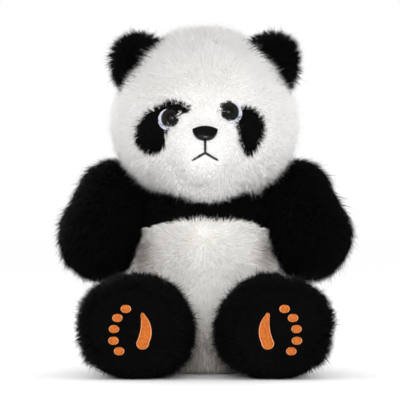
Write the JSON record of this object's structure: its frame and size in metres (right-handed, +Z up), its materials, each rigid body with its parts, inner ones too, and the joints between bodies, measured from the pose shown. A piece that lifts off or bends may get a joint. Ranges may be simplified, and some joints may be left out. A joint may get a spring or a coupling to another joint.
{
  "type": "plush panda",
  "caption": "Sitting plush panda with long black and white pile, embroidered foot pads, plastic eyes and nose, and soft limbs that turn at their seams.",
  "frame": {"origin": "centre of the flat seat that the toy sits on", "axes": "+Z up, the toy faces -Y, its own left side is +X"},
  "size_m": [0.226, 0.1769, 0.274],
  "materials": {
    "black_plush": "long soft pile, faint sheen",
    "white_plush": "dense soft pile",
    "cream_plush": "dense soft pile, slightly warm",
    "short_white_plush": "short pile",
    "sole_plush": "short clipped pile",
    "stuffing": "loose polyester fibre",
    "bag_cloth": "plain woven cotton",
    "pad_thread": "satin stitch embroidery",
    "black_thread": "twisted embroidery thread",
    "white_thread": "twisted sewing thread",
    "eye_plastic": "polished",
    "nose_plastic": "polished",
    "eye_white": "smooth",
    "washer": "moulded"
  },
  "bodies": {
    "torso": {"shoulder_yoke": "black_plush", "belly_panel": "cream_plush", "back_panel": "white_plush", "seat_panel": "white_plush", "torso_stuffing": "stuffing", "pellet_bag": "bag_cloth", "tail": "white_plush", "closing_stitches": "white_thread"},
    "head": {"head_cover": "white_plush", "muzzle_panel": "short_white_plush", "head_stuffing": "stuffing", "nose": "nose_plastic", "nose_washer": "washer", "mouth_stitches": "black_thread", "left_eye": "eye_plastic", "left_eye_white": "eye_white", "left_eye_washer": "washer", "left_ear": "black_plush", "left_eye_patch": "black_plush", "right_eye": "eye_plastic", "right_eye_white": "eye_white", "right_eye_washer": "washer", "right_ear": "black_plush", "right_eye_patch": "black_plush"},
    "left_arm": {"left_arm_cover": "black_plush", "left_arm_stuffing": "stuffing"},
    "left_leg": {"left_leg_cover": "black_plush", "left_sole_panel": "sole_plush", "left_leg_stuffing": "stuffing", "left_main_pad": "pad_thread", "left_toe_pads": "pad_thread"},
    "right_arm": {"right_arm_cover": "black_plush", "right_arm_stuffing": "stuffing"},
    "right_leg": {"right_leg_cover": "black_plush", "right_sole_panel": "sole_plush", "right_leg_stuffing": "stuffing", "right_main_pad": "pad_thread", "right_toe_pads": "pad_thread"}
  },
  "joints": [
    {"name": "neck_turn", "type": "hinge", "parent": "torso", "child": "head", "pos_m": [0, 0, 0.146], "axis": [0, 0, 1], "range_deg": [-30, 30]},
    {"name": "left_shoulder_swing", "type": "hinge", "parent": "torso", "child": "left_arm", "pos_m": [0.073, 0.012, 0.141], "axis": [-1, 0, 0], "range_deg": [-30, 60]},
    {"name": "right_shoulder_swing", "type": "hinge", "parent": "torso", "child": "right_arm", "pos_m": [-0.073, 0.012, 0.141], "axis": [-1, 0, 0], "range_deg": [-30, 60]},
    {"name": "left_hip_lift", "type": "hinge", "parent": "torso", "child": "left_leg", "pos_m": [0.049, -0.05, 0.0378], "axis": [-1, 0, 0], "range_deg": [0, 25]},
    {"name": "right_hip_lift", "type": "hinge", "parent": "torso", "child": "right_leg", "pos_m": [-0.049, -0.05, 0.0378], "axis": [-1, 0, 0], "range_deg": [0, 25]}
  ]
}
